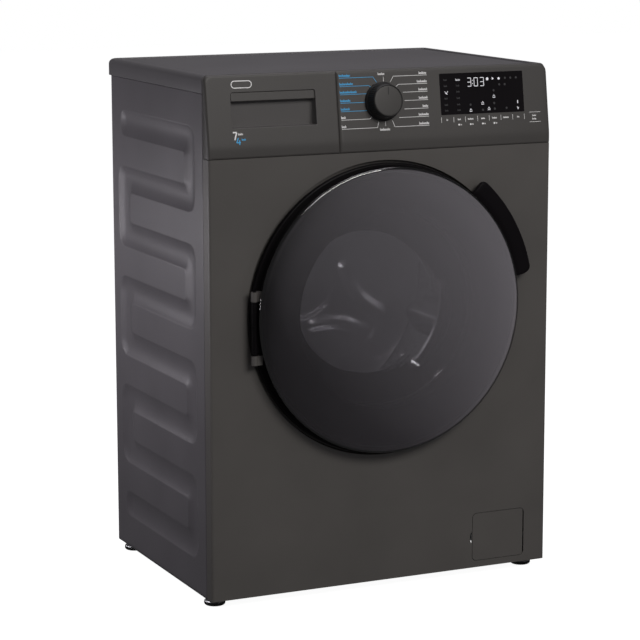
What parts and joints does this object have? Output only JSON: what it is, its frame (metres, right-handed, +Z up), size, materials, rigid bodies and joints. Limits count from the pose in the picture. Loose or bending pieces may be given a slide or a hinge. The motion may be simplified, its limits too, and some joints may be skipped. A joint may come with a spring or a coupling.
{
  "type": "front load washing machine",
  "caption": "Free-standing front loader: steel cabinet, round smoked door, leaning fascia with drawer, knob and display, and a sprung tub with a belt-driven drum.",
  "frame": {"origin": "on the floor, at the middle of the whole footprint, door and worktop included", "axes": "+X to the right seen from the front, +Y to the rear, +Z up"},
  "size_m": [0.6, 0.469, 0.84],
  "materials": {
    "side_paint": "satin, fine orange-peel paint",
    "front_paint": "satin metallic grey paint",
    "worktop_laminate": "matt laminate, fine grain",
    "fascia_plastic": "satin moulded plastic",
    "door_black": "gloss black moulding",
    "door_tint": "smoke-tinted gloss cover",
    "bowl_glass": "clear pressed glass",
    "display_black": "gloss black window",
    "knob_black": "satin dark plastic",
    "gasket_rubber": "grey moulded rubber",
    "hose_rubber": "black rubber",
    "foot_rubber": "black moulded foot",
    "zinc_steel": "zinc plated",
    "stainless": "brushed stainless steel",
    "tub_plastic": "filled polypropylene, matt",
    "white_plastic": "moulded white plastic",
    "blue_plastic": "moulded blue plastic",
    "black_plastic": "moulded black plastic",
    "concrete": "cast concrete",
    "circuit_board": "green solder resist",
    "cast_aluminium": "die-cast aluminium"
  },
  "bodies": {
    "cabinet": {"left_side_panel": "side_paint", "right_side_panel": "side_paint", "front_panel": "front_paint", "rear_panel": "side_paint", "base_frame": "zinc_steel", "top_crossbars": "zinc_steel", "worktop_frame": "worktop_laminate", "worktop_board": "worktop_laminate", "control_fascia": "fascia_plastic", "display_window": "display_black", "control_board": "circuit_board", "dispenser_housing": "white_plastic", "inlet_valve": "white_plastic", "fill_hose": "hose_rubber", "drain_hose": "hose_rubber", "cable_gland": "black_plastic", "door_lock": "black_plastic", "hinge_bracket": "front_paint", "door_gasket": "gasket_rubber", "gasket_band": "zinc_steel", "drain_pump": "black_plastic", "filter_housing": "tub_plastic", "tub_hoses": "hose_rubber", "suspension_springs": "zinc_steel", "dampers": "black_plastic", "lock_nuts": "zinc_steel"},
    "tub": {"tub_front": "tub_plastic", "tub_rear": "tub_plastic", "counterweight_upper": "concrete", "counterweight_lower": "concrete", "heater": "stainless", "drum_bearings": "stainless", "shaft_seal": "hose_rubber", "motor_housing": "cast_aluminium", "drive_belt": "hose_rubber"},
    "drum": {"drum_shell": "stainless", "drum_front": "stainless", "drum_back": "stainless", "drum_lifters": "stainless", "drum_spider": "cast_aluminium", "drum_shaft": "stainless", "drum_pulley": "cast_aluminium"},
    "rotor": {"motor_rotor": "stainless"},
    "door": {"door_ring": "door_black", "door_disc": "door_tint", "door_inner_frame": "black_plastic", "door_glass": "bowl_glass", "door_hinge_leaf": "door_black"},
    "handle": {"door_handle": "door_black", "latch_hook": "zinc_steel"},
    "drawer": {"drawer_front": "fascia_plastic", "drawer_tray": "white_plastic", "siphon_cap": "blue_plastic"},
    "knob": {"programme_knob": "knob_black"},
    "flap": {"filter_flap": "front_paint"},
    "filter": {"filter_cap": "white_plastic"},
    "foot_fl": {"foot_front_left": "foot_rubber"},
    "foot_fr": {"foot_front_right": "foot_rubber"},
    "foot_rl": {"foot_rear_left": "foot_rubber"},
    "foot_rr": {"foot_rear_right": "foot_rubber"}
  },
  "joints": [
    {"name": "tub_bounce", "type": "slide", "parent": "cabinet", "child": "tub", "axis": [0, 0, 1], "range_m": [-0.008, 0.008], "stiffness_N_per_m": 16000, "springref_m": 0.01716, "deforming": ["door_gasket", "tub_hoses", "suspension_springs", "dampers"]},
    {"name": "drum_spin", "type": "hinge", "parent": "tub", "child": "drum", "pos_m": [0, 0, 0.462], "axis": [0, -1, 0], "continuous": true},
    {"name": "rotor_spin", "type": "hinge", "parent": "tub", "child": "rotor", "pos_m": [0, 0, 0.115], "axis": [0, -1, 0], "continuous": true},
    {"name": "door_swing", "type": "hinge", "parent": "cabinet", "child": "door", "pos_m": [-0.231, -0.2185, 0.45], "axis": [0, 0, -1], "range_deg": [0, 140]},
    {"name": "handle_pull", "type": "hinge", "parent": "door", "child": "handle", "pos_m": [0.19139, -0.2115, 0.5725], "axis": [0.5, 0, -0.866], "range_deg": [0, 12], "stiffness_Nm_per_rad": 1.2},
    {"name": "drawer_slide", "type": "slide", "parent": "cabinet", "child": "drawer", "axis": [0, -1, 0], "range_m": [0, 0.2]},
    {"name": "knob_turn", "type": "hinge", "parent": "cabinet", "child": "knob", "pos_m": [0, -0.19471, 0.79], "axis": [0, -0.9898, 0.1427], "continuous": true},
    {"name": "flap_swing", "type": "hinge", "parent": "cabinet", "child": "flap", "pos_m": [0.251, -0.2005, 0.0675], "axis": [0, 0, 1], "range_deg": [0, 100]},
    {"name": "cap_turn", "type": "hinge", "parent": "cabinet", "child": "filter", "pos_m": [0.2115, -0.2035, 0.0675], "axis": [0, -1, 0], "range_deg": [0, 90]},
    {"name": "foot_fl_screw", "type": "slide", "parent": "cabinet", "child": "foot_fl", "axis": [0, 0, -1], "range_m": [0, 0.012]},
    {"name": "foot_fr_screw", "type": "slide", "parent": "cabinet", "child": "foot_fr", "axis": [0, 0, -1], "range_m": [0, 0.012]},
    {"name": "foot_rl_screw", "type": "slide", "parent": "cabinet", "child": "foot_rl", "axis": [0, 0, -1], "range_m": [0, 0.012]},
    {"name": "foot_rr_screw", "type": "slide", "parent": "cabinet", "child": "foot_rr", "axis": [0, 0, -1], "range_m": [0, 0.012]}
  ],
  "couplings": [
    {"joint": "rotor_spin", "follows": "drum_spin", "ratio": 11.667}
  ]
}
